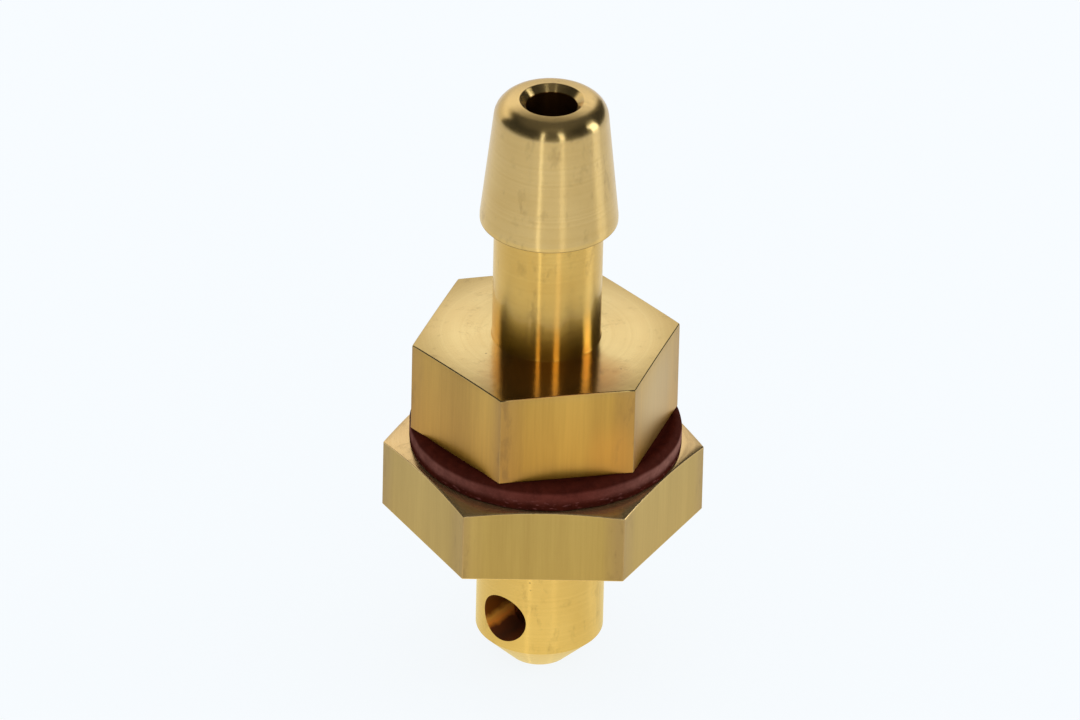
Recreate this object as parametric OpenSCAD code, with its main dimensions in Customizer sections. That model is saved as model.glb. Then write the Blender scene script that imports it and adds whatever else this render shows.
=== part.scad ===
// Test point nipple for a gas line: a turned brass hose tail with a coned
// sealing end, held by a lock nut over a fibre washer. It stands on its tip.
// The axis is Z, the hose tail points up, and two flats of the spanner
// hexagon face along Y. All sizes are millimetres.

/* [Spanner hexagon] */
// Distance across the flats of the hexagon on the nipple body
hex_af = 11; // [10.5:0.5:12]
// Height of the hexagon
hex_h = 4.6; // [3:0.1:6]
// Drop of the turned edge break at the hexagon's upper corners
hex_break = 0.1; // [0.05:0.05:0.3]

/* [Sealing end] */
// Length from the tip to the underside of the hexagon
reach = 12.9; // [12.5:0.1:16]
// Diameter of the plain shank
shank_d = 6; // [5:0.1:6.2]
// Diameter of the flat on the tip
tip_d = 2.8; // [2.4:0.1:4]
// Included angle of the sealing cone
cone_angle = 90; // [70:5:120]

/* [Thread] */
// Outer diameter of the thread that carries the lock nut
thread_d = 8; // [7.8:0.1:8.6]
// Pitch of that thread
thread_pitch = 1; // [0.5:0.25:1]
// Length of the thread, with its relief groove, below the hexagon
thread_len = 6; // [5.6:0.1:7]
// Width of the relief groove under the hexagon
relief_w = 0.8; // [0.4:0.1:1.2]
// Diameter at the bottom of the relief groove
relief_d = 6.6; // [6.3:0.1:7]

/* [Hose tail] */
// Diameter of the neck between the hexagon and the barb
neck_d = 5.1; // [4.5:0.1:5.6]
// Length of the neck
neck_len = 6.3; // [4:0.1:10]
// Diameter of the barb at its widest
barb_d = 6.45; // [6:0.05:8]
// Length of the barb, from its sharp back edge to the mouth
barb_len = 6.35; // [5:0.05:9]
// Width of the straight land behind the barb's taper
barb_land = 0.22; // [0.1:0.02:0.6]
// Diameter to which the taper runs at the level of the mouth
barb_end_d = 5.2; // [4.8:0.1:5.6]
// Radius of the rounded shoulder at the mouth
shoulder_r = 0.88; // [0.4:0.02:1]

/* [Gas way] */
// Diameter of the bore along the axis
bore_d = 2.4; // [1.6:0.1:2.6]
// Diameter of the countersink at the mouth
mouth_d = 3; // [2.8:0.1:3.4]
// Diameter of the cross hole in the shank
port_d = 2.4; // [1.6:0.1:2.6]
// Height of the cross hole's centre above the tip
port_z = 3.2; // [3:0.1:4]
// Direction in which the cross hole opens, from +X
port_turn = -137; // [-180:1:180]
// Included angle of the drill point that ends the bore
drill_angle = 118; // [90:1:135]

/* [Fibre washer] */
// Outer diameter of the washer
washer_d = 12.8; // [12:0.1:14]
// Thickness of the washer as it is clamped
washer_t = 1.25; // [0.8:0.05:1.6]
// Radius of the washer's worn outer edges
washer_edge_r = 0.45; // [0.2:0.05:0.6]
// Gap between the washer's hole and the thread, all round
washer_gap = 0.1; // [0.05:0.05:0.3]

/* [Lock nut] */
// Distance across the flats of the nut
nut_af = 13; // [12:0.5:15]
// Height of the nut
nut_h = 3.7; // [3:0.1:4]
// Slope of the chamfer on the nut's upper corners, from the face
nut_chamfer_angle = 15; // [10:5:35]
// Drop of the edge break on the nut's lower corners
nut_break = 0.1; // [0.05:0.05:0.3]
// Angle between the nut's corners and those of the spanner hexagon
nut_turn = -10.5; // [-30:0.5:30]
// Gap between the nut and the thread, all round
nut_gap = 0.05; // [0.02:0.01:0.1]

/* [Hidden] */
$fn = 96;
// Overrun of a cutter past the face that it opens
over = 0.5;
// Share of the pitch by which a 60 degree thread's mean line is smaller
mean_share = 0.6495;
// Slope of the edge breaks on the hexagons, from the face
break_angle = 30;

// Heights along the axis, from the tip up
cone_h = (shank_d - tip_d) / 2 / tan(cone_angle / 2);
thread_z = reach - thread_len;
nut_z = reach - washer_t - nut_h;
washer_z = reach - washer_t;
hex_z = reach;
neck_z = hex_z + hex_h;
barb_z = neck_z + neck_len;
mouth_z = barb_z + barb_len;

// The thread is drawn plain, at the mean line of its flanks
thread_mean_d = thread_d - mean_share * thread_pitch;
// The lead chamfer starts from the plain shank
lead_h = (thread_mean_d - shank_d) / 2;
nut_bore_d = thread_mean_d + 2 * nut_gap;
nut_mouth_d = thread_d + 2 * nut_gap;

// The shoulder's arc touches the mouth's plane and the barb's taper
taper_angle = atan((barb_d - barb_end_d) / 2 / (barb_len - barb_land));
shoulder_x = barb_end_d / 2 - shoulder_r * (1 - sin(taper_angle)) / cos(taper_angle);
shoulder_z = barb_len - shoulder_r;

// Radius of a hexagon's corners
function corner_r(af) = af / 2 / cos(30);

// A hexagon that stands on z = 0, with a corner along +X
module hex_bar(af, h) {
    cylinder(r = corner_r(af), h = h, $fn = 6);
}

// Round blank as tall as a hexagon, coned at its top so that it takes the
// hexagon's corners down by drop, at a slope measured from the face
module corner_cone(af, h, drop, slope) {
    rise = h - drop;
    translate([0, 0, rise])
        cylinder(r1 = corner_r(af), r2 = corner_r(af) - drop / tan(slope), h = drop);
    cylinder(r = corner_r(af), h = rise);
}

// Hexagon with its upper corners broken on the lathe
module broken_hex(af, h, drop, slope) {
    intersection() {
        hex_bar(af, h);
        corner_cone(af, h, drop, slope);
    }
}

// Half section of the barb, its back edge on y = 0
module barb_section() {
    translate([shoulder_x, shoulder_z]) circle(r = shoulder_r);
    polygon([
        [0, 0],
        [barb_d / 2, 0],
        [barb_d / 2, barb_land],
        [shoulder_x + shoulder_r * cos(taper_angle), shoulder_z + shoulder_r * sin(taper_angle)],
        [shoulder_x, shoulder_z],
        [shoulder_x, barb_len],
        [0, barb_len]
    ]);
}

// Sealing cone and plain shank
module shank() {
    cylinder(d1 = tip_d, d2 = shank_d, h = cone_h);
    translate([0, 0, cone_h]) cylinder(d = shank_d, h = reach - cone_h);
}

// Threaded stretch with its lead chamfer, up to the relief groove
module thread_blank() {
    full_z = thread_z + lead_h;
    translate([0, 0, thread_z]) cylinder(d1 = shank_d, d2 = thread_mean_d, h = lead_h);
    translate([0, 0, full_z]) cylinder(d = thread_mean_d, h = reach - relief_w - full_z);
    translate([0, 0, reach - relief_w]) cylinder(d = relief_d, h = relief_w);
}

// Blind bore from the mouth down past the cross hole, with its countersink
module gas_bore() {
    sink_h = (mouth_d - bore_d) / 2;
    floor_z = port_z - port_d / 2;
    point_h = bore_d / 2 / tan(drill_angle / 2);
    translate([0, 0, floor_z]) cylinder(d = bore_d, h = mouth_z - floor_z + over);
    translate([0, 0, floor_z - point_h]) cylinder(d1 = 0, d2 = bore_d, h = point_h);
    translate([0, 0, mouth_z - sink_h]) cylinder(d1 = bore_d, d2 = mouth_d, h = sink_h);
}

// Cross hole from the bore out through one side of the shank
module port() {
    translate([0, 0, port_z])
        rotate([0, 90, port_turn])
            cylinder(d = port_d, h = shank_d / 2 + over);
}

// Turned from one hexagonal brass bar
module nipple_body() {
    color("#c3a050")
    difference() {
        union() {
            shank();
            thread_blank();
            translate([0, 0, hex_z]) broken_hex(hex_af, hex_h, hex_break, break_angle);
            translate([0, 0, neck_z]) cylinder(d = neck_d, h = neck_len);
            translate([0, 0, barb_z]) rotate_extrude() barb_section();
        }
        gas_bore();
        port();
    }
}

// Flat ring of red-brown vulcanised fibre with rounded outer edges
module fibre_washer() {
    hole_r = thread_d / 2 + washer_gap;
    round_x = washer_d / 2 - washer_edge_r;
    color("#5e2326")
    translate([0, 0, washer_z])
        rotate_extrude() {
            translate([hole_r, 0]) square([round_x - hole_r, washer_t]);
            translate([hole_r, washer_edge_r])
                square([washer_d / 2 - hole_r, washer_t - 2 * washer_edge_r]);
            for (y = [washer_edge_r, washer_t - washer_edge_r])
                translate([round_x, y]) circle(r = washer_edge_r);
        }
}

// Thin hexagon nut, chamfered on the washer's side, its bore opened at both ends
module lock_nut() {
    chamfer_h = (corner_r(nut_af) - nut_af / 2) * tan(nut_chamfer_angle);
    sink_h = (nut_mouth_d - nut_bore_d) / 2;
    color("#b8923f")
    translate([0, 0, nut_z])
        rotate([0, 0, nut_turn])
            difference() {
                intersection() {
                    broken_hex(nut_af, nut_h, chamfer_h, nut_chamfer_angle);
                    translate([0, 0, nut_h]) mirror([0, 0, 1])
                        corner_cone(nut_af, nut_h, nut_break, break_angle);
                }
                translate([0, 0, -over]) cylinder(d = nut_bore_d, h = nut_h + 2 * over);
                cylinder(d1 = nut_mouth_d, d2 = nut_bore_d, h = sink_h);
                translate([0, 0, nut_h - sink_h])
                    cylinder(d1 = nut_bore_d, d2 = nut_mouth_d, h = sink_h);
            }
}

nipple_body();
fibre_washer();
lock_nut();
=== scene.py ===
# Test point nipple: a turned brass hose tail with a coned sealing end, a
# vulcanised fibre washer and a brass lock nut, stood on its tip on white
# paper. Lengths are given in millimetres and built in metres.
import math

import bmesh
import bpy
from mathutils import Matrix, Vector, noise


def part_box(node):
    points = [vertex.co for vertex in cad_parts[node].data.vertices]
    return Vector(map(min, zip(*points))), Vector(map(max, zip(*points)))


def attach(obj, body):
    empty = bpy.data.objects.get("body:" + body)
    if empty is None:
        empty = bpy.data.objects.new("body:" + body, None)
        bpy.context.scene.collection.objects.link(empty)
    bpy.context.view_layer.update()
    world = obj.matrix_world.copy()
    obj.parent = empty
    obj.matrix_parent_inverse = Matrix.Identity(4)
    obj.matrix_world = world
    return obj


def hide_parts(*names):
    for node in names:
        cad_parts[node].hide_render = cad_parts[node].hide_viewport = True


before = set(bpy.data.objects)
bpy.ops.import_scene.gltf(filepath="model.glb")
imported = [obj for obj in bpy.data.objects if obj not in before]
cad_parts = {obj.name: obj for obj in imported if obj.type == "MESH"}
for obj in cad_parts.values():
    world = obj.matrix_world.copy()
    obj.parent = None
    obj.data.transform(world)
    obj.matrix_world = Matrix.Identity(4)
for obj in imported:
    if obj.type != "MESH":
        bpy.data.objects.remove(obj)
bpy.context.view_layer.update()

# Nipple body
# One piece of free-cutting brass, turned, faced, threaded and drilled in one
# clamping from 11 mm hexagonal bar. The bar's drawn sides stay as they came;
# everything round is cut by the lathe.
MM = 0.001

# Spanner hexagon. A cone takes its corners down outside hex_face_r, and its
# face drops by hex_crown from crown_from outwards. hex_edge and edge_step set
# rings of points close beside its upper edge, for the shading there.
hex_flats = 11.0
hex_bottom = 12.9
hex_top = 17.5
hex_face_r = 6.3
hex_slope = math.radians(30)
hex_corner = 0.055
hex_foot_round = 0.04
hex_edge = 0.5
hex_crown = 0.08
crown_from = 2.9
edge_round = 0.05
edge_step = 0.01
sharp_angle = math.radians(40)

# Shank, sealing cone and the small flat on the tip
shank_r = 3.0
cone_top = 1.6
cone_round = 0.06
tip_r = 1.4
tip_round = 0.08

# Neck, with a ring of points round its foot, and barb, with its burred back edge
neck_r = 2.55
neck_fillet = 0.03
neck_ring = 0.3
barb_bottom = 23.8
barb_r = 3.225
barb_land = 0.22
barb_end_r = 2.6
land_round = 0.1
burr_round = 0.02
burr_width = 0.04
shoulder_r = 0.88

# Mouth, blind bore and cross hole. The bore is oiled brown up to oil_reach
# above the cross hole.
lip_drop = 0.12
mouth_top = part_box("nipple_body")[1].z / MM
mouth_r = 1.5
mouth_round = 0.04
bore_r = 1.2
bore_floor = 2.0
drill_slope = math.radians(59)
port_r = 1.2
port_z = 3.2
port_turn = math.radians(-137)
oil_reach = 3

# Thread of 60 degrees, which is 0.6134 of its pitch deep, and relief groove
thread_r = 4.0
thread_pitch = 1.0
thread_bottom = 6.9
thread_top = 12.1
relief_r = 3.3
root_r = thread_r - 0.6134 * thread_pitch
rows_per_turn = 16


def linear(code):
    """The linear colour of an sRGB hex code."""
    values = [int(code[i:i + 2], 16) / 255 for i in (1, 3, 5)]
    return [v / 12.92 if v <= 0.04045 else ((v + 0.055) / 1.055) ** 2.4 for v in values] + [1.0]


def off_corner(angle):
    """How far an angle is from the nearest corner of a hexagon with a corner at 0."""
    return abs((angle + math.pi / 6) % (math.pi / 3) - math.pi / 6)


def corner_arc(flats, corner):
    """Where the arc of a rounded corner is centred, and how far it reaches to each side."""
    middle = (flats / 2 - corner) / math.cos(math.pi / 6)
    return middle, math.atan2(corner / 2, middle + corner * math.cos(math.pi / 6))


def hexagon_r(angle, flats, corner):
    """Distance from the axis to the side of a hexagon with rounded corners."""
    off = off_corner(angle)
    middle, touch = corner_arc(flats, corner)
    if off < touch:
        return middle * math.cos(off) + math.sqrt(corner ** 2 - (middle * math.sin(off)) ** 2)
    return flats / 2 / math.cos(math.pi / 6 - off)


def hexagon_skin(angle, flats, corner):
    """Finish of a hexagon's side: rubbed on the rounded corners, else as drawn."""
    _, touch = corner_arc(flats, corner)
    return "rubbed" if off_corner(angle) < touch - 1e-6 else "drawn"


def hexagon_angles(flats, corner, steps=12):
    """Angles for one turn, close together at the corners of a hexagon."""
    _, touch = corner_arc(flats, corner)
    half = [touch * i / 3 for i in range(3)]
    half += [touch + (math.pi / 6 - touch) * i / steps for i in range(steps + 1)]
    sector = half + [math.pi / 3 - a for a in reversed(half[:-1])][:-1]
    turn = [side * math.pi / 3 + a for side in range(6) for a in sector]
    return turn + [2 * math.pi]


def rounded(outline, steps=4):
    """An outline of (r, z, corner radius, finish) as (r, z, finish) with true arcs."""
    points = []
    for i, (r, z, radius, finish) in enumerate(outline):
        here = Vector((r, z))
        if not radius:
            points.append((r, z, finish))
            continue
        back = Vector(outline[i - 1][:2]) - here
        ahead = Vector(outline[i + 1][:2]) - here
        half = back.angle(ahead) / 2
        reach = radius / math.tan(half)
        inward = (back.normalized() + ahead.normalized()).normalized()
        centre = here + inward * radius / math.sin(half)
        start = here + back.normalized() * reach - centre
        end = here + ahead.normalized() * reach - centre
        for k in range(steps + 1):
            spoke = start.slerp(end, k / steps).normalized() * radius
            points.append((centre.x + spoke.x, centre.y + spoke.y, finish))
    return points


def crowned(r, drop):
    """How far a faced end has dropped at a radius, where the tool sprang off."""
    return drop * (max(0.0, r - crown_from) / (hex_face_r - crown_from)) ** 2


def worn_edge(outer, top, face_r, slope, crown=0.0):
    """Top edge of a hexagon, coned outside face_r and rounded where it meets the side."""
    points = []
    for k in range(5):
        turn = math.pi / 2 * k / 4
        r = outer - edge_round * (1 - math.cos(turn))
        fall = max(0.0, r - face_r) * math.tan(slope) + crowned(r, crown)
        points.append((r, top - fall - edge_round * (1 - math.sin(turn)), "faced"))
    start_r = points[-1][0]
    inner = min(face_r, outer - edge_round - edge_step)
    for share in (0.35, 0.7, 1.0):
        r = start_r + (inner - start_r) * share
        fall = max(0.0, r - face_r) * math.tan(slope) + crowned(r, crown)
        points.append((r, top - fall, "faced"))
    return points


def helix_rows(angle, low, high):
    """Heights that follow a right-hand thread's helix between two levels."""
    count = int((high - low) / thread_pitch * rows_per_turn) + rows_per_turn + 1
    start = low - thread_pitch + thread_pitch * angle / (2 * math.pi)
    steps = [start + k * thread_pitch / rows_per_turn for k in range(count + 1)]
    return [min(max(z, low), high) for z in steps]


def thread_at(angle, z):
    """Radius of the 60 degree external thread at a point on its helix."""
    phase = (z / thread_pitch - angle / (2 * math.pi)) % 1.0
    off_crest = abs(phase - 0.5) * thread_pitch - thread_pitch / 16
    return max(root_r, thread_r - max(0.0, off_crest) / math.tan(math.pi / 6))


def body_thread(angle):
    """The body's thread with its lead chamfer and its run into the relief groove."""
    points = []
    for z in helix_rows(angle, thread_bottom, thread_top):
        lead = shank_r + (z - thread_bottom)
        runout = relief_r + (thread_top - z)
        points.append((min(thread_at(angle, z), lead, runout), z, "turned"))
    return points


def body_section(angle):
    """Outline of the body at one angle, from the tip's middle up and down the bore."""
    side = hexagon_r(angle, hex_flats, hex_corner)
    skin = hexagon_skin(angle, hex_flats, hex_corner)
    low = rounded([
        (0, 0, 0, "turned"),
        (tip_r, 0, tip_round, "turned"),
        (shank_r, cone_top, cone_round, "turned"),
        (shank_r, thread_bottom, 0, "turned"),
    ])
    under = rounded([
        (relief_r, hex_bottom, 0, "faced"),
        (side, hex_bottom, hex_foot_round, skin),
        (side, hex_top - hex_edge, 0, skin),
    ])
    face = worn_edge(side, hex_top, hex_face_r, hex_slope, crown=hex_crown)
    face_r = face[-1][0]
    for share in (0.15, 0.3, 0.45, 0.6, 0.75, 0.9):
        r = face_r + (neck_r + neck_ring - face_r) * share
        face.append((r, hex_top - crowned(r, hex_crown), "faced"))
    tail = rounded([
        (neck_r + neck_ring, hex_top, 0, "faced"),
        (neck_r, hex_top, neck_fillet, "neck"),
        (neck_r, barb_bottom, neck_fillet, "neck"),
        (barb_r, barb_bottom, burr_round, "burr"),
        (barb_r, barb_bottom + burr_width, 0, "turned"),
        (barb_r, barb_bottom + barb_land, land_round, "turned"),
        (barb_end_r, mouth_top - lip_drop, shoulder_r, "turned"),
        (mouth_r, mouth_top, mouth_round, "turned"),
        (bore_r, mouth_top - (mouth_r - bore_r), mouth_round, "drilled"),
        (bore_r, port_z + oil_reach, 0, "oiled"),
        (bore_r, bore_floor, 0, "oiled"),
        (0, bore_floor - bore_r / math.tan(drill_slope), 0, "oiled"),
    ], steps=8)
    return low + body_thread(angle) + under + face + tail


def revolve(name, angles, section, finishes, turn=0.0):
    """A piece made by sweeping a section that may change with its angle, welded
    at its seam. Each point of the section names the finish that follows it."""
    mesh = bpy.data.meshes.new(name)
    order = list(finishes)
    shape = bmesh.new()
    rings = []
    for angle in angles:
        points = section(angle)
        along = Vector((math.cos(angle + turn), math.sin(angle + turn), 0))
        ring = [shape.verts.new((along * r + Vector((0, 0, z))) * MM) for r, z, _ in points]
        rings.append((ring, [order.index(finish) for _, _, finish in points]))
    for (near, indices), (far, _) in zip(rings, rings[1:]):
        for k in range(len(near) - 1):
            face = shape.faces.new((near[k], far[k], far[k + 1], near[k + 1]))
            face.material_index = indices[k]
            face.smooth = True
    bmesh.ops.remove_doubles(shape, verts=shape.verts, dist=0.0005 * MM)
    bmesh.ops.dissolve_degenerate(shape, edges=shape.edges, dist=0.0002 * MM)
    bmesh.ops.recalc_face_normals(shape, faces=shape.faces)
    shape.to_mesh(mesh)
    shape.free()
    for finish in finishes.values():
        mesh.materials.append(finish)
    made = bpy.data.objects.new(name, mesh)
    bpy.context.collection.objects.link(made)
    return made


def apply_modifiers(piece):
    """Makes the piece's modifiers part of its mesh."""
    graph = bpy.context.evaluated_depsgraph_get()
    mesh = bpy.data.meshes.new_from_object(piece.evaluated_get(graph))
    old = piece.data
    piece.modifiers.clear()
    piece.data = mesh
    bpy.data.meshes.remove(old)


def crisp(piece):
    """Smooth shading that keeps flats flat and edges over the sharp angle sharp."""
    piece.data.set_sharp_from_angle(angle=sharp_angle)
    weigh = piece.modifiers.new("flat_faces", "WEIGHTED_NORMAL")
    weigh.keep_sharp = True
    weigh.weight = 90
    apply_modifiers(piece)


def even_coordinates(piece):
    """Makes generated coordinates round about the axis, so that the lathe's
    rings run true on a hexagonal piece."""
    piece.data.use_auto_texspace = False
    piece.data.texspace_location = (0, 0, 0)
    piece.data.texspace_size = (0.02, 0.02, 0.02)


def add(tree, kind, inputs=(), stops=(), **settings):
    """Adds a node with its settings. An input given as a node or a socket is
    linked, any other is set. stops are a colour ramp's places and colours."""
    made = tree.nodes.new("ShaderNode" + kind)
    for name, value in settings.items():
        setattr(made, name, value)
    for name, value in dict(inputs).items():
        if isinstance(value, bpy.types.Node):
            value = next(socket for socket in value.outputs if socket.enabled)
        if isinstance(value, bpy.types.NodeSocket):
            tree.links.new(value, made.inputs[name])
        else:
            made.inputs[name].default_value = value
    for at, _ in stops[1:-1]:
        made.color_ramp.elements.new(at)
    for i, (at, code) in enumerate(stops):
        made.color_ramp.elements[i].position = at
        made.color_ramp.elements[i].color = linear(code)
    return made


def start_material(name):
    """An empty node material with its output, and the object's own coordinates."""
    material = bpy.data.materials.new(name)
    material.use_nodes = True
    tree = material.node_tree
    tree.nodes.clear()
    return material, tree, add(tree, "OutputMaterial"), add(tree, "TexCoord").outputs["Object"]


def about_axis(tree, place):
    """A place's coordinates, its level part and its distance from the axis."""
    split = add(tree, "SeparateXYZ", {0: place})
    level = add(tree, "CombineXYZ", {0: split.outputs[0], 1: split.outputs[1]})
    return split, level, add(tree, "VectorMath", {0: level}, operation="LENGTH")


# What lies on turned brass, in millimetres. The tool's rings are about 0.05
# apart, too fine to show, and are drawn 0.10 to 0.30 apart.
cloud_size = 1.8
speck_spacing = 1.3
smudge_size = 0.7
dent_size = 0.6
dent_depth = 0.008

# Middle of the brown film on the spanner hexagon's face, in front of the neck
stain_at = (-0.4 * MM, -3.8 * MM, 0.0)


def turned_brass(name, light, dark, roughness, stretch, ring, ring_height, metal=1.0, stain=0.0,
                 dull_r=99.0, foot=0.0):
    """Brass cut on a lathe, in rings ring mm apart and ring_height mm high,
    which stretch each reflection along the axis, or outwards on a face. stain
    is the strength of the brown film before the neck, dull_r the radius past
    which a face is dull from handling, and foot the strength of a painted
    reflection low on the neck, yellower and darker, which stands for the
    shaded, warm paper close to the part that the neck mirrors."""
    material, tree, output, place = start_material(name)
    split, level, radius = about_axis(tree, place)
    outward = add(tree, "CombineXYZ", {0: radius, 1: split.outputs[2]})
    rings = add(tree, "TexNoise", {"Vector": outward, "Scale": 1 / (ring * MM), "Detail": 2.0,
                                   "Roughness": 0.6})
    cloud = add(tree, "TexNoise", {"Vector": place, "Scale": 1 / (cloud_size * MM), "Detail": 3.0,
                                   "Roughness": 0.5})
    tone = add(tree, "Math", {0: rings, 1: 0.5}, operation="MULTIPLY")
    tone = add(tree, "Math", {0: cloud, 1: 0.5, 2: tone}, operation="MULTIPLY_ADD")
    colour = add(tree, "ValToRGB", {0: tone}, stops=((0.3, dark), (0.7, light)))

    specks = add(tree, "TexVoronoi", {"Vector": place, "Scale": 1 / (speck_spacing * MM)})
    specks = add(tree, "MapRange", {"Value": specks, "From Min": 0.025, "From Max": 0.05,
                                    "To Min": 0.45, "To Max": 0.0})
    colour = add(tree, "Mix", {"Factor": specks, "A": colour, "B": linear("#4A3414")}, data_type="RGBA")
    upright = add(tree, "Mapping", {"Vector": place, "Location": (3 * MM, 0.0, 0.0),
                                    "Scale": (1.0, 1.0, 0.45)})
    smudge = add(tree, "TexNoise", {"Vector": upright, "Scale": 1 / (smudge_size * MM), "Detail": 5.0,
                                    "Roughness": 0.7})
    smudge = add(tree, "MapRange", {"Value": smudge, "From Min": 0.56, "From Max": 0.7,
                                    "To Min": 0.0, "To Max": 0.27})
    colour = add(tree, "Mix", {"Factor": smudge, "A": colour, "B": linear("#8A7038")}, data_type="RGBA")

    film = add(tree, "VectorMath", {0: level, 1: stain_at}, operation="DISTANCE")
    film = add(tree, "Math", {0: cloud, 1: 1.2 * MM, 2: film}, operation="MULTIPLY_ADD")
    film = add(tree, "MapRange", {"Value": film, "From Min": 2.7 * MM, "From Max": 4.5 * MM,
                                  "To Min": stain, "To Max": 0.0}, interpolation_type="SMOOTHSTEP")
    colour = add(tree, "Mix", {"Factor": film, "A": colour, "B": linear("#DBBC96")},
                 data_type="RGBA", blend_type="MULTIPLY")
    dull = add(tree, "Math", {0: cloud, 1: 1.0 * MM, 2: radius}, operation="MULTIPLY_ADD")
    dull = add(tree, "MapRange", {"Value": dull, "From Min": dull_r * MM, "From Max": (dull_r + 1.9) * MM},
               interpolation_type="SMOOTHSTEP")
    colour = add(tree, "Mix", {"Factor": dull, "A": colour, "B": linear("#D6CFBA")},
                 data_type="RGBA", blend_type="MULTIPLY")
    # Painted reflection: low on the neck the colour turns yellower and darker, for the shaded, warm paper
    # near the part that the neck mirrors
    low = add(tree, "MapRange", {"Value": split.outputs[2], "From Min": (hex_top + 0.4) * MM,
                                 "From Max": (hex_top + 2.6) * MM, "To Min": foot, "To Max": 0.0},
              interpolation_type="SMOOTHSTEP")
    colour = add(tree, "Mix", {"Factor": low, "A": colour, "B": linear("#FFEBA4")},
                 data_type="RGBA", blend_type="MULTIPLY")

    dents = add(tree, "TexNoise", {"Vector": place, "Scale": 1 / (dent_size * MM), "Detail": 1.0})
    dented = add(tree, "Bump", {"Height": dents, "Strength": 0.6, "Distance": dent_depth * MM})
    ringed = add(tree, "Bump", {"Normal": dented, "Height": rings, "Strength": 0.6,
                                "Distance": ring_height * MM})
    ring_way = add(tree, "Tangent", direction_type="RADIAL", axis="Z")
    brass = add(tree, "BsdfPrincipled", {
        "Base Color": colour, "Metallic": metal, "Roughness": roughness, "Anisotropic": stretch,
        "Anisotropic Rotation": 0.25, "Coat Weight": 0.55, "Coat Roughness": 0.1, "Normal": ringed,
        "Tangent": ring_way})
    tree.links.new(brass.outputs[0], output.inputs[0])
    return material


# What lies on drawn bar, in millimetres. The die's lines are about 0.02 apart
# and are drawn coarser, so that they show; broader bands run along with them.
draw_line = 0.14
draw_line_height = 0.003
draw_band = 1.6
grime_size = 0.45


def drawn_brass(name, light, dark, handled, film, corner_r, low, high, painted_patches=()):
    """Brass bar as it left the drawing die: faint straight lines along the
    bar, a satin sheen, and a yellow film that looks pale at a low angle. Near
    corner_r it is handled, duller and pinker, with a little grime. From the
    height high down to low it turns warmer, a painted reflection of the warm
    light off the washer and nut. The painted patches given each have a middle,
    a reach, a colour and a strength, and are painted reflections."""
    material, tree, output, place = start_material(name)
    split, _, radius = about_axis(tree, place)
    along = add(tree, "Mapping", {"Vector": place, "Scale": (1.0, 1.0, 0.04)})
    fine = add(tree, "TexNoise", {"Vector": along, "Scale": 1 / (draw_line * MM), "Detail": 3.0,
                                  "Roughness": 0.65})
    wide = add(tree, "TexNoise", {"Vector": along, "Scale": 1 / (draw_band * MM), "Detail": 2.0,
                                  "Roughness": 0.5})
    tone = add(tree, "Math", {0: fine, 1: 0.3}, operation="MULTIPLY")
    tone = add(tree, "Math", {0: wide, 1: 0.7, 2: tone}, operation="MULTIPLY_ADD")
    colour = add(tree, "ValToRGB", {0: tone}, stops=((0.3, dark), (0.7, light)))

    near = add(tree, "Math", {0: wide, 1: -0.8 * MM, 2: radius}, operation="MULTIPLY_ADD")
    near = add(tree, "MapRange", {"Value": near, "From Min": (corner_r - 0.85) * MM,
                                  "From Max": (corner_r - 0.45) * MM, "To Min": 0.0, "To Max": 0.5})
    colour = add(tree, "Mix", {"Factor": near, "A": colour, "B": linear(handled)}, data_type="RGBA")
    # Painted reflection: warmer towards the bottom, for the warm light off the washer and nut
    fall = add(tree, "MapRange", {"Value": split.outputs[2], "From Min": low * MM, "From Max": high * MM,
                                  "To Min": 1.0, "To Max": 0.0})
    colour = add(tree, "Mix", {"Factor": fall, "A": colour, "B": linear("#FFEEC0")},
                 data_type="RGBA", blend_type="MULTIPLY")
    # Painted reflections on the bar, each a patch of colour fading out from its middle
    for at, reach, code, strength in painted_patches:
        middle = [v * MM for v in at]
        away = add(tree, "VectorMath", {0: place, 1: middle}, operation="DISTANCE")
        away = add(tree, "Math", {0: wide, 1: 2.0 * MM, 2: away}, operation="MULTIPLY_ADD")
        painted_patch = add(tree, "MapRange", {"Value": away, "From Min": 0.5 * reach * MM,
                                      "From Max": (reach + 1.0) * MM, "To Min": strength, "To Max": 0.0},
                   interpolation_type="SMOOTHSTEP")
        colour = add(tree, "Mix", {"Factor": painted_patch, "A": colour, "B": linear(code)}, data_type="RGBA")
    streaks = add(tree, "Mapping", {"Vector": place, "Scale": (1.0, 1.0, 0.3)})
    grime = add(tree, "TexNoise", {"Vector": streaks, "Scale": 1 / (grime_size * MM), "Detail": 4.0,
                                   "Roughness": 0.65})
    grime = add(tree, "MapRange", {"Value": grime, "From Min": 0.52, "From Max": 0.66,
                                   "To Min": 0.0, "To Max": 0.6})
    grime = add(tree, "Math", {0: grime, 1: near}, operation="MULTIPLY")
    colour = add(tree, "Mix", {"Factor": grime, "A": colour, "B": linear("#6E4E26")}, data_type="RGBA")

    rough = add(tree, "MapRange", {"Value": tone, "From Min": 0.3, "From Max": 0.7,
                                   "To Min": 0.48, "To Max": 0.4})
    lined = add(tree, "Bump", {"Height": fine, "Strength": 0.5, "Distance": draw_line_height * MM})
    brass = add(tree, "BsdfPrincipled", {
        "Base Color": colour, "Metallic": 0.85, "Roughness": rough, "Coat Weight": film,
        "Coat Roughness": 0.3, "Normal": lined})
    tree.links.new(brass.outputs[0], output.inputs[0])
    return material


# Bands on the cross hole's wall, from its lower left edge across: oil brown, then a painted highlight where
# the wall mirrors the bright room, then painted shade below it
oil_size = 0.5
oil_and_light_bands = ((0.0, "#7A4410"), (0.24, "#8C4A10"), (0.35, "#FFB044"), (0.47, "#FF9A36"),
             (0.58, "#6E3A1C"), (0.8, "#50301E"), (1.0, "#6A3416"))


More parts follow.
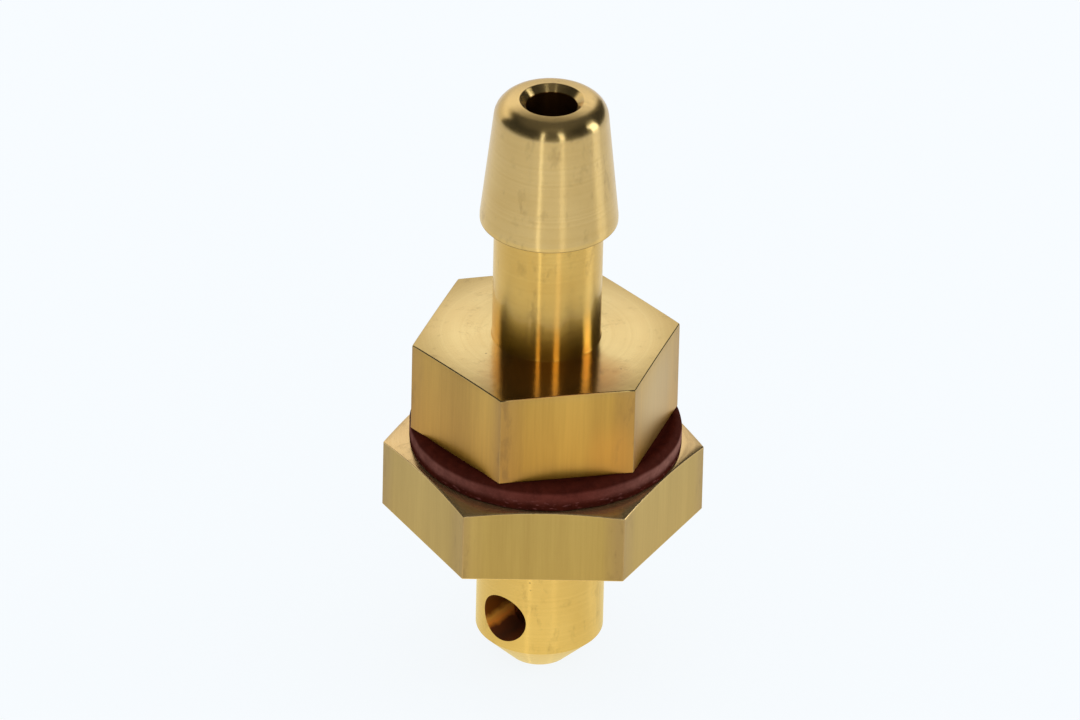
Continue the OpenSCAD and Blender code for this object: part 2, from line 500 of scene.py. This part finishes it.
def oiled_brass_with_painted_light(name):
    """Drilled brass browned by cutting oil. A painted highlight runs along the
    cross hole, where its wall mirrors the bright room, with painted shade further round."""
    material, tree, output, place = start_material(name)
    out = add(tree, "VectorMath", {0: place, 1: (0.0, 0.0, port_z * MM)}, operation="SUBTRACT")
    across = port_turn - math.pi / 2
    down_left = (-0.73 * math.cos(across), -0.73 * math.sin(across), -0.68)
    below = add(tree, "VectorMath", {0: out, 1: down_left}, operation="DOT_PRODUCT")
    cloud = add(tree, "TexNoise", {"Vector": place, "Scale": 1 / (oil_size * MM), "Detail": 3.0})
    below = add(tree, "Math", {0: cloud, 1: 0.35 * MM, 2: below}, operation="MULTIPLY_ADD")
    below = add(tree, "MapRange", {"Value": below, "From Min": -1.0 * MM, "From Max": 1.35 * MM})
    colour = add(tree, "ValToRGB", {0: below}, stops=oil_and_light_bands)
    brass = add(tree, "BsdfPrincipled", {"Base Color": colour, "Metallic": 0.15, "Roughness": 0.35})
    tree.links.new(brass.outputs[0], output.inputs[0])
    return material


# Painted reflections: a pale one on the flat to the right, which mirrors the bright wall at a low angle,
# and a warm glint low on the front flat
hexagon_painted_reflections = (((5.0, -2.9, 15.2), 3.4, "#C4C2BC", 0.28),
                 ((2.2, -5.5, 14.0), 2.2, "#F4AC3E", 0.3))
body_finishes = {
    # Bright, with the windows drawn out into upright lines
    "turned": turned_brass("turned brass", "#F0D38E", "#E6C67C", 0.23, 0.9, 0.12, 0.002),
    # Satin and deeper yellow, the skin of the bar
    "drawn": drawn_brass("drawn brass bar", "#D4AD4E", "#B99238", "#A8824C", 1.0, 6.35,
                         hex_bottom, hex_top, hexagon_painted_reflections),
    # Pale and almost a mirror, so that the neck shows in it; brown before the neck
    "faced": turned_brass("faced brass", "#F2DD9C", "#E6CC8A", 0.17, 0.85, 0.16, 0.001,
                          stain=1.0, dull_r=4.8),
    # Redder and darker, the darkness a painted shade inside the bore below its mouth
    "drilled": turned_brass("drilled brass", "#B88843", "#9C6C2C", 0.2, 0.9, 0.16, 0.002),
    # Dull and pinkish, where spanners and fingers rub
    "rubbed": turned_brass("rubbed corner brass", "#B8965C", "#AC8A52", 0.4, 0.3, 0.3, 0.001, metal=0.9),
    # A thin browner line along the barb's back edge
    "burr": turned_brass("burred edge brass", "#B89A5C", "#A88A4E", 0.3, 0.5, 0.3, 0.001),
    # Brown from cutting oil, deep in the bore and in the cross hole, with a painted highlight and painted
    # shade there
    "oiled": oiled_brass_with_painted_light("oil-browned brass with painted light"),
    # Finer cut than the rest, so reflections fade slowly up and down the neck; its foot carries a painted
    # reflection of the shaded paper
    "neck": turned_brass("fine turned brass", "#F0CE7A", "#E6C06A", 0.22, 0.97, 0.12, 0.0015, foot=1.0),
}
nipple = revolve("nipple_body_turned", hexagon_angles(hex_flats, hex_corner), body_section, body_finishes)

# The cross hole is drilled through one side of the shank into the bore
drill_length = shank_r + 0.5
into_shank = (Matrix.Translation((0, 0, port_z * MM)) @ Matrix.Rotation(port_turn, 4, "Z")
              @ Matrix.Rotation(math.pi / 2, 4, "Y") @ Matrix.Translation((0, 0, drill_length / 2 * MM)))
drill = bmesh.new()
bmesh.ops.create_cone(drill, cap_ends=True, segments=64, radius1=port_r * MM, radius2=port_r * MM,
                      depth=drill_length * MM, matrix=into_shank)
drill_mesh = bpy.data.meshes.new("port_drill")
drill.to_mesh(drill_mesh)
drill.free()
for finish in body_finishes.values():
    drill_mesh.materials.append(finish)
for side in drill_mesh.polygons:
    side.material_index = list(body_finishes).index("oiled")
    side.use_smooth = True
port_drill = bpy.data.objects.new("port_drill", drill_mesh)
bpy.context.collection.objects.link(port_drill)
cut = nipple.modifiers.new("port", "BOOLEAN")
cut.operation = "DIFFERENCE"
cut.solver = "EXACT"
cut.object = port_drill
apply_modifiers(nipple)
bpy.data.objects.remove(port_drill)
crisp(nipple)
even_coordinates(nipple)
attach(nipple, "nipple")
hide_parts("nipple_body")

# Fibre washer
# A flat ring punched from red-brown vulcanised fibre. Clamped between the
# hexagon and the nut, it has crept a little up past the hexagon's flats, and
# its rim is rubbed paler and rough; part of the rim's paleness is a painted highlight.
washer_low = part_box("fibre_washer")[0].z / MM
washer_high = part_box("fibre_washer")[1].z / MM
washer_hole = 4.1
washer_ring = 5.0
washer_edge = 0.42
washer_foot = 0.12

# The rim is out of round by a broad wobble and a finer ripple
washer_outer = 6.37
washer_wobble = 0.05
washer_ripple = 0.035

# The creep is full where creep_width sticks out past the hexagon, and it
# fades out creep_end inside the hexagon's side
washer_creep = 0.08
creep_width = 0.7
creep_end = 0.05

# The washer sits off the axis by its whole gap to the thread
washer_aside = Vector((0.1, -0.02, 0)) * MM


def washer_section(angle):
    """Outline of the washer at one angle, from its hole's foot outwards."""
    way = Vector((math.cos(angle), math.sin(angle), 0))
    wobble = noise.noise(way * 1.3) * washer_wobble
    ripple = noise.noise(way * 6.0 + Vector((3, 1, 7))) * washer_ripple
    uneven = wobble + ripple
    outer = washer_outer + uneven
    hexagon = hexagon_r(angle, hex_flats, hex_corner)
    creep = washer_creep * min(1.0, max(outer - hexagon, 0.0) / creep_width) * (1 + 3 * uneven)
    core = outer - washer_edge
    crown = washer_high + creep
    points = [(washer_hole, washer_low), (washer_ring, washer_low)]
    for k in range(5):
        turn = math.pi / 2 * k / 4
        points.append((outer - washer_foot * (1 - math.sin(turn)),
                       washer_low + washer_foot * (1 - math.cos(turn))))
    for k in range(9):
        turn = math.pi / 2 * k / 8
        points.append((core + washer_edge * math.cos(turn), crown - washer_edge * (1 - math.sin(turn))))
    last = min(core, hexagon) - creep_end
    for k in range(1, 6):
        lift = creep * (0.5 + 0.5 * math.cos(math.pi * k / 5))
        points.append((core + (last - core) * k / 5, washer_high + lift))
    points += [(washer_hole, washer_high), (washer_hole, washer_low)]
    return [(r, z, "fibre") for r, z in points]


# What shows in the fibre, in millimetres: mottling, and lint in its layers
mottle_size = 0.5
lint_size = 0.3
lint_height = 0.035


def vulcanised_fibre(name):
    """Layers of paper gelled into one hard sheet: dark maroon and matt,
    mottled, and paler with lint where the rim was rubbed. The rim's pale ridge is partly that wear and
    partly a painted highlight."""
    material, tree, output, place = start_material(name)
    split, _, radius = about_axis(tree, place)
    mottle = add(tree, "TexNoise", {"Vector": place, "Scale": 1 / (mottle_size * MM), "Detail": 6.0,
                                    "Roughness": 0.65})
    layers = add(tree, "Mapping", {"Vector": place, "Scale": (1.0, 1.0, 3.0)})
    lint = add(tree, "TexNoise", {"Vector": layers, "Scale": 1 / (lint_size * MM), "Detail": 3.0,
                                  "Roughness": 0.6})
    sheet = add(tree, "ValToRGB", {0: mottle}, stops=((0.35, "#30100A"), (0.65, "#3C150D")))

    # A pale ridge half way up the rim, paler towards the left: partly rubbed wear, partly a painted
    # highlight where the rim catches the bright paper and wall
    rim = add(tree, "MapRange", {"Value": radius, "From Min": 6.1 * MM, "From Max": 6.3 * MM})
    above = add(tree, "MapRange", {"Value": split.outputs[2], "From Min": (washer_low + 0.25) * MM,
                                   "From Max": (washer_low + 0.65) * MM}, interpolation_type="SMOOTHSTEP")
    below = add(tree, "MapRange", {"Value": split.outputs[2], "From Min": (washer_low + 0.85) * MM,
                                   "From Max": (washer_low + 1.05) * MM, "To Min": 1.0, "To Max": 0.05},
                interpolation_type="SMOOTHSTEP")
    uneven = add(tree, "MapRange", {"Value": mottle, "From Min": 0.35, "From Max": 0.65,
                                    "To Min": 0.6, "To Max": 1.0})
    ridge_wear_and_highlight = add(tree, "Math", {0: rim, 1: above}, operation="MULTIPLY")
    ridge_wear_and_highlight = add(tree, "Math", {0: ridge_wear_and_highlight, 1: below}, operation="MULTIPLY")
    ridge_wear_and_highlight = add(tree, "Math", {0: ridge_wear_and_highlight, 1: uneven}, operation="MULTIPLY")
    # The ridge turns paler towards the sides, partly wear and partly a painted highlight where the rim
    # meets the bright wall at a low angle
    sideways = add(tree, "MapRange", {"Value": split.outputs[0], "From Min": -6.4 * MM,
                                      "From Max": 6.4 * MM})
    rubbed = add(tree, "FloatCurve", {"Value": sideways})
    for at, high in ((0.5, 0.0), (0.75, 0.25)):
        rubbed.mapping.curves[0].points.new(at, high)
    rubbed.mapping.curves[0].points[0].location = (0.0, 0.35)
    rubbed.mapping.update()
    pale_wear_and_highlight = add(tree, "Mix", {"Factor": rubbed, "A": linear("#5C2B23"), "B": linear("#966C60")},
               data_type="RGBA")
    colour = add(tree, "Mix", {"Factor": ridge_wear_and_highlight, "A": sheet, "B": pale_wear_and_highlight}, data_type="RGBA")

    # Lint on the rim, most of it near the foot
    worn = add(tree, "MapRange", {"Value": lint, "From Min": 0.58, "From Max": 0.68})
    foot = add(tree, "MapRange", {"Value": split.outputs[2], "From Min": (washer_low + 0.45) * MM,
                                  "From Max": (washer_low + 0.65) * MM, "To Min": 0.5, "To Max": 0.05})
    share = add(tree, "Math", {0: rim, 1: worn}, operation="MULTIPLY")
    share = add(tree, "Math", {0: share, 1: foot}, operation="MULTIPLY")
    colour = add(tree, "Mix", {"Factor": share, "A": colour, "B": linear("#7A4A46")}, data_type="RGBA")
    fuzz = add(tree, "Bump", {"Height": lint, "Strength": 0.8, "Distance": lint_height * MM})
    fibre = add(tree, "BsdfPrincipled", {
        "Base Color": colour, "Roughness": 0.55, "IOR": 1.45, "Specular IOR Level": 0.0, "Normal": fuzz})
    tree.links.new(fibre.outputs[0], output.inputs[0])
    return material


washer_angles = [2 * math.pi * k / 240 for k in range(241)]
washer = revolve("fibre_washer_pressed", washer_angles, washer_section,
                 {"fibre": vulcanised_fibre("vulcanised fibre")})
washer.data.transform(Matrix.Translation(washer_aside))
crisp(washer)
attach(washer, "washer")
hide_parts("fibre_washer")

# Lock nut
# A thin nut sawn from 13 mm hexagonal bar, chamfered on the washer's side and
# tapped to run on the body's thread. Its sides keep the drawn skin of the bar.
nut_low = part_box("lock_nut")[0].z / MM
nut_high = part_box("lock_nut")[1].z / MM
nut_flats = 13.0
nut_corner = 0.08
nut_face_r = 6.48
nut_ring = 5.2
nut_turn = math.radians(-10.5)
nut_slope = math.radians(15)
nut_gap = 0.05
nut_minor = 3.46
nut_sink = 4.05

# The painted warm reflection would be full this far below the nut, so it only begins on it
nut_painted_warmth_below = 12


def nut_thread(angle):
    """The tapped hole at one angle, from the top down, open at both ends."""
    points = []
    true_angle = angle + nut_turn
    for z in reversed(helix_rows(true_angle, nut_low, nut_high)):
        tapped = max(nut_minor, thread_at(true_angle, z) + nut_gap)
        opening = nut_sink - min(z - nut_low, nut_high - z)
        points.append((max(tapped, opening), z, "tapped"))
    return points


def nut_section(angle):
    """Outline of the nut at one angle, from the underside out, over and down the thread."""
    side = hexagon_r(angle, nut_flats, nut_corner)
    under = [(nut_sink, nut_low, "faced"), (nut_ring, nut_low, "faced")]
    foot = [(r, 2 * nut_low - z, "faced") for r, z, _ in worn_edge(side, nut_low, nut_flats, hex_slope)]
    foot.reverse()
    foot[-1] = foot[-1][:2] + (hexagon_skin(angle, nut_flats, nut_corner),)
    top = worn_edge(side, nut_high, nut_face_r, nut_slope)
    face_r = top[-1][0]
    face = [(face_r + (nut_sink - face_r) * share, nut_high, "faced") for share in (0.33, 0.66)]
    return under + foot + top + face + nut_thread(angle) + [(nut_sink, nut_low, "faced")]


nut_finishes = {
    # Coarser than the body's turning, because a tap tears more than it cuts
    "tapped": turned_brass("tapped brass", "#E6C682", "#D3AD66", 0.34, 0.7, 0.10, 0.003),
    # A greener, duller bar than the body's
    "drawn": drawn_brass("drawn nut bar", "#C8AE64", "#B49850", "#A88C66", 0.85, 7.5,
                         nut_low - nut_painted_warmth_below, nut_high),
    # Bright chamfer that mirrors the washer's red-brown
    "faced": turned_brass("nut face brass", "#F0D296", "#E2C080", 0.2, 0.7, 0.14, 0.002, metal=0.95),
    # Dull and pinkish, where spanners and fingers rub
    "rubbed": turned_brass("rubbed nut corner", "#C4A878", "#B89C6C", 0.4, 0.3, 0.3, 0.001, metal=0.9),
}
nut = revolve("lock_nut_tapped", hexagon_angles(nut_flats, nut_corner), nut_section, nut_finishes, nut_turn)
crisp(nut)
even_coordinates(nut)
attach(nut, "nut")
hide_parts("lock_nut")

# Camera
# A long lens, a little above, with the nipple leaning just over a degree.
# aim_px is where a point of the axis, aim, falls in the picture.
image_width, image_height = 1080, 720
focal_px = 16741.0
camera_turn = math.radians(-11.36)
camera_height = math.radians(31.78)
camera_roll = math.radians(1.369)
camera_distance = 780 * MM
aim = Vector((0, 0, 17.494 * MM))
aim_px = (546.24, 332.85)
back = Vector((math.sin(camera_turn) * math.cos(camera_height),
               -math.cos(camera_turn) * math.cos(camera_height), math.sin(camera_height)))
sideways = Vector((math.cos(camera_turn), math.sin(camera_turn), 0))
upward = back.cross(sideways)
right = sideways * math.cos(camera_roll) + upward * math.sin(camera_roll)
up = upward * math.cos(camera_roll) - sideways * math.sin(camera_roll)
camera = bpy.data.objects.new("camera", bpy.data.cameras.new("camera"))
bpy.context.collection.objects.link(camera)
camera.data.sensor_width = 36.0
camera.data.lens = focal_px / image_width * camera.data.sensor_width
camera.data.clip_start = 0.01
pixel = camera_distance / focal_px
stand = (aim + back * camera_distance - right * (aim_px[0] - image_width / 2) * pixel
         - up * (image_height / 2 - aim_px[1]) * pixel)
camera.matrix_world = Matrix.Translation(stand) @ Matrix((right, up, back)).transposed().to_4x4()
bpy.context.scene.camera = camera

# Stage
# White paper under the part, a white wall behind it, a darker room behind
# the camera, and three windows that draw the bright lines on the brass.
paper_white = "#F8FCFF"
floor_mesh = bpy.data.meshes.new("paper")
sheet = bmesh.new()
bmesh.ops.create_grid(sheet, x_segments=1, y_segments=1, size=1.5)
sheet.to_mesh(floor_mesh)
sheet.free()
paper = bpy.data.objects.new("paper", floor_mesh)
paper.location.z = -0.01 * MM
bpy.context.collection.objects.link(paper)


def level_way(turn, length=1.0):
    """A level direction, turn degrees to the right of the camera's side."""
    heading = camera_turn - math.pi / 2 + math.radians(turn)
    return (math.cos(heading) * length, math.sin(heading) * length, 0.0)


paper_material, tree, output, spot = start_material("white paper")
rays = add(tree, "LightPath")
matt = add(tree, "BsdfDiffuse", {"Color": linear(paper_white)})
glow = add(tree, "Emission", {"Color": linear(paper_white), "Strength": 1.0})
plain = add(tree, "MixShader", {0: 0.9, 1: matt, 2: glow})

# What the brass mirrors of the paper: darker further off and to the sides
reach = add(tree, "VectorMath", {0: spot}, operation="LENGTH")
shade = add(tree, "MapRange", {"Value": reach, "From Min": 8 * MM, "From Max": 70 * MM,
                               "To Min": 0.95, "To Max": 0.76})
heading = add(tree, "VectorMath", {0: spot}, operation="NORMALIZE")
forward = add(tree, "VectorMath", {0: heading, 1: level_way(0)}, operation="DOT_PRODUCT")
forward = add(tree, "Math", {0: forward, 1: 2.0}, operation="POWER")
spread = add(tree, "MapRange", {"Value": forward, "To Min": 0.86, "To Max": 1.0})
shade = add(tree, "Math", {0: shade, 1: spread}, operation="MULTIPLY")

# The windows' shine on it, as streaks: direction, half width and strength
far = add(tree, "MapRange", {"Value": reach, "From Min": 8 * MM, "From Max": 30 * MM,
                             "To Min": 0.06, "To Max": 0.22})
for turn, half_width, gain in ((-16.5, 2.6, 2.0), (22, 4, 0.75), (95, 10, 1.0)):
    toward = add(tree, "VectorMath", {0: heading, 1: level_way(turn)}, operation="DOT_PRODUCT")
    streak = add(tree, "MapRange", {"Value": toward,
                                    "From Min": math.cos(math.radians(half_width * 1.25)),
                                    "From Max": math.cos(math.radians(half_width * 0.6)),
                                    "To Min": 0.0, "To Max": gain})
    shade = add(tree, "Math", {0: streak, 1: far, 2: shade}, operation="MULTIPLY_ADD")

# The brass's own warm light on the paper, all round it and in one glint
warmth = add(tree, "MapRange", {"Value": reach, "From Min": 4 * MM, "From Max": 75 * MM,
                                "To Min": 1.0, "To Max": 0.0})
tint = add(tree, "Mix", {"Factor": warmth, "A": linear("#FCFBFF"), "B": linear("#FFF2BC")},
           data_type="RGBA")
glint = add(tree, "VectorMath", {0: spot, 1: level_way(24, 28.6 * MM)}, operation="DISTANCE")
glint = add(tree, "MapRange", {"Value": glint, "From Min": 1.0 * MM, "From Max": 5 * MM,
                               "To Min": 0.75, "To Max": 0.0}, interpolation_type="SMOOTHSTEP")
tint = add(tree, "Mix", {"Factor": glint, "A": tint, "B": linear("#FFBE60")}, data_type="RGBA")

mirrored = add(tree, "Emission", {"Color": tint, "Strength": shade})
seen = add(tree, "Math", {0: rays.outputs["Is Camera Ray"], 1: rays.outputs["Is Transmission Ray"]},
           operation="MAXIMUM")
unseen = add(tree, "MixShader", {0: rays.outputs["Is Glossy Ray"], 1: matt, 2: mirrored})
paper_look = add(tree, "MixShader", {0: seen, 1: unseen, 2: plain})
tree.links.new(paper_look.outputs[0], output.inputs[0])
floor_mesh.materials.append(paper_material)

window_distance = 0.6
window_aim = Vector((0, 0, 20 * MM))


def window(name, turn, height, wide, tall, radiance):
    """A soft rectangular light. turn is to the right of the camera's side of
    the part and height is above the level; these and the size are in degrees."""
    rise = math.radians(height)
    way = Vector(level_way(turn, math.cos(rise))) + Vector((0, 0, math.sin(rise)))
    lamp = bpy.data.lights.new(name, "AREA")
    lamp.shape = "RECTANGLE"
    lamp.size = 2 * window_distance * math.tan(math.radians(wide / 2))
    lamp.size_y = 2 * window_distance * math.tan(math.radians(tall / 2))
    lamp.energy = radiance * math.pi * lamp.size * lamp.size_y
    made = bpy.data.objects.new(name, lamp)
    made.location = way * window_distance + window_aim
    made.rotation_euler = way.to_track_quat("Z", "Y").to_euler()
    made.visible_camera = False
    bpy.context.collection.objects.link(made)


window("left window", -16.5, 25, 6, 46, 1.25)
window("middle window", 22, 25, 10, 46, 1.3)
window("right window", 95, 18, 18, 34, 2.2)

world = bpy.data.worlds.new("room")
bpy.context.scene.world = world
world.use_nodes = True
tree = world.node_tree
tree.nodes.clear()
output = add(tree, "OutputWorld")
rays = add(tree, "LightPath")
way = add(tree, "TexCoord").outputs["Generated"]
height = add(tree, "SeparateXYZ", {0: way}).outputs[2]
heading = add(tree, "VectorMath", {0: way, 1: (1.0, 1.0, 0.0)}, operation="MULTIPLY")
heading = add(tree, "VectorMath", {0: heading}, operation="NORMALIZE")

# The wall behind, brightest from 29 to 33 degrees up
behind = add(tree, "VectorMath", {0: heading, 1: level_way(-157.5)}, operation="DOT_PRODUCT")
wall = add(tree, "MapRange", {"Value": behind, "From Min": math.cos(math.radians(48)),
                              "From Max": math.cos(math.radians(37)), "To Min": 0.0, "To Max": 0.97},
           interpolation_type="SMOOTHSTEP")
below_top = add(tree, "MapRange", {"Value": height, "From Min": math.sin(math.radians(33)),
                                   "From Max": math.sin(math.radians(46)), "To Min": 1.0, "To Max": 0.0},
                interpolation_type="SMOOTHSTEP")
rising = add(tree, "MapRange", {"Value": height, "From Min": math.sin(math.radians(15)),
                                "From Max": math.sin(math.radians(29)), "To Min": 0.67, "To Max": 1.0},
             interpolation_type="SMOOTHSTEP")

# The dark room, a little lighter ahead of the part and at the ceiling
ahead = add(tree, "VectorMath", {0: heading, 1: level_way(8)}, operation="DOT_PRODUCT")
gloom = add(tree, "MapRange", {"Value": ahead, "From Min": math.cos(math.radians(45)),
                               "From Max": math.cos(math.radians(20)), "To Min": 0.025, "To Max": 0.08})
ceiling = add(tree, "MapRange", {"Value": height, "From Min": math.sin(math.radians(48)),
                                 "From Max": math.sin(math.radians(65)), "To Min": 0.0, "To Max": 0.06})
room = add(tree, "Math", {0: wall, 1: below_top}, operation="MULTIPLY")
room = add(tree, "Math", {0: room, 1: rising}, operation="MULTIPLY")
room = add(tree, "Math", {0: room, 1: gloom}, operation="ADD")
room = add(tree, "Math", {0: room, 1: ceiling}, operation="ADD")

white = add(tree, "Background", {"Color": linear(paper_white), "Strength": 1.0})
mirrored = add(tree, "Background", {"Color": linear("#FFF6EA"), "Strength": room})
fill = add(tree, "Background", {"Color": linear("#F8FBFF"), "Strength": 0.95})
unseen = add(tree, "MixShader", {0: rays.outputs["Is Glossy Ray"], 1: fill, 2: mirrored})
seen = add(tree, "Math", {0: rays.outputs["Is Camera Ray"], 1: rays.outputs["Is Transmission Ray"]},
           operation="MAXIMUM")
room_look = add(tree, "MixShader", {0: seen, 1: unseen, 2: white})
tree.links.new(room_look.outputs[0], output.inputs[0])

# Colours reach the picture as they are, so the paper keeps its own white
bpy.context.scene.view_settings.view_transform = "Standard"
